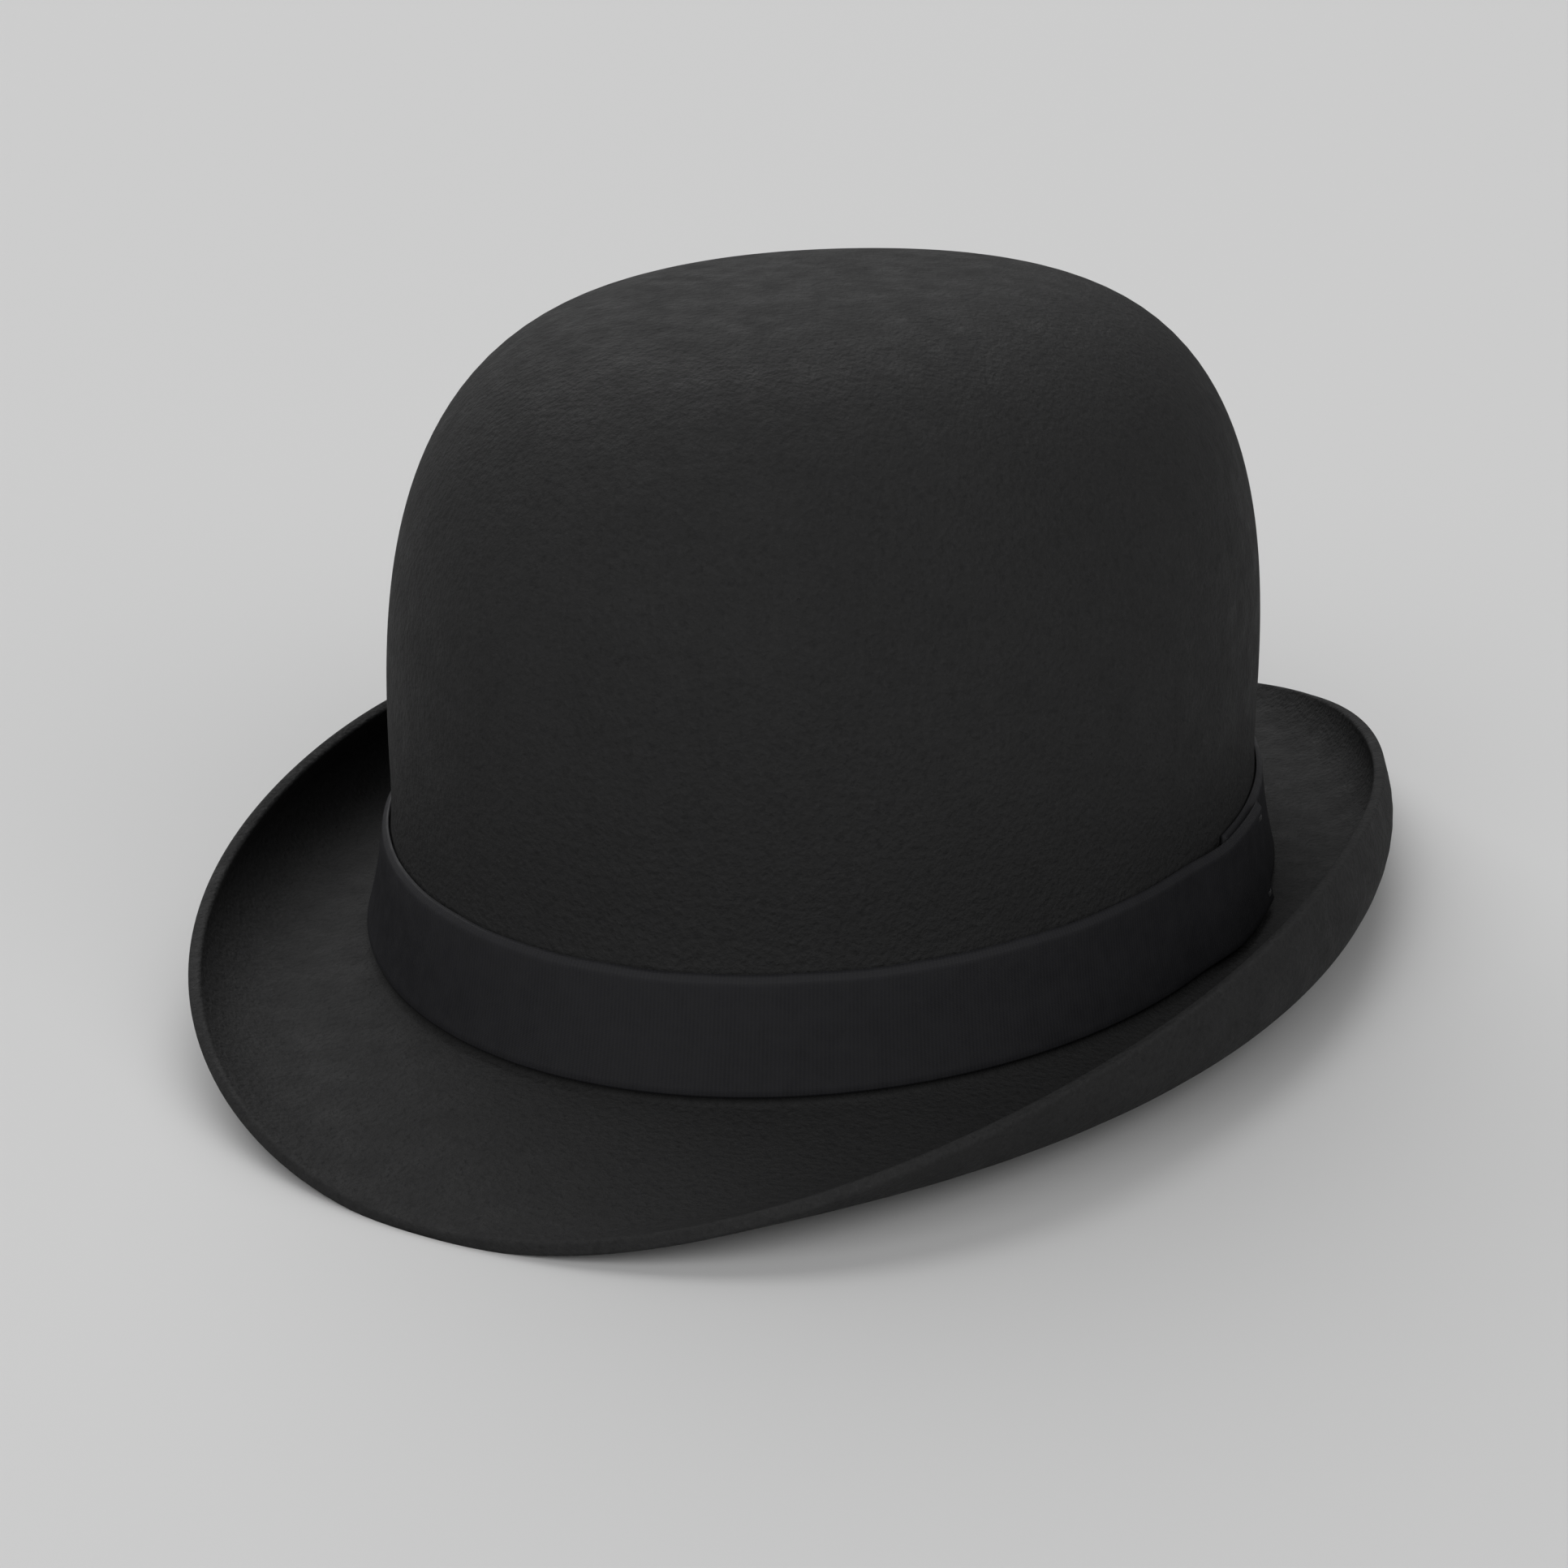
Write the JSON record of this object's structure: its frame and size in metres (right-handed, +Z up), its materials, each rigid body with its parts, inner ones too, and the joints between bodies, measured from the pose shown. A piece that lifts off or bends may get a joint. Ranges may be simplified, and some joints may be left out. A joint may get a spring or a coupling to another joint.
{
  "type": "bowler hat",
  "caption": "Bowler hat: hard felt crown and curled brim, lapped ribbon band, leather sweatband with a reed and bow, and a satin lining, lying on its brim.",
  "frame": {"origin": "centre of the bounding box, at the height of the flats under the brim that the hat rests on", "axes": "+Z up through the top of the crown, -Y to the front of the hat, +X to the wearer's left"},
  "size_m": [0.225, 0.3138, 0.1285],
  "materials": {
    "felt": "matte",
    "grosgrain": "satin",
    "sweat_leather": "satin",
    "reed_cord": "matte",
    "satin": "gloss",
    "thread": "matte"
  },
  "bodies": {
    "root": {"felt_body": "felt", "ribbon_band": "grosgrain", "ribbon_tack_upper": "thread", "ribbon_tack_lower": "thread", "sweatband": "sweat_leather", "sweatband_reed": "reed_cord", "sweatband_tape": "grosgrain", "sweatband_thread": "reed_cord", "back_seam_thread": "reed_cord", "bow_loops": "grosgrain", "bow_knot": "grosgrain", "lining_side": "satin", "lining_tip": "satin", "lining_gimp": "satin"}
  },
  "joints": []
}
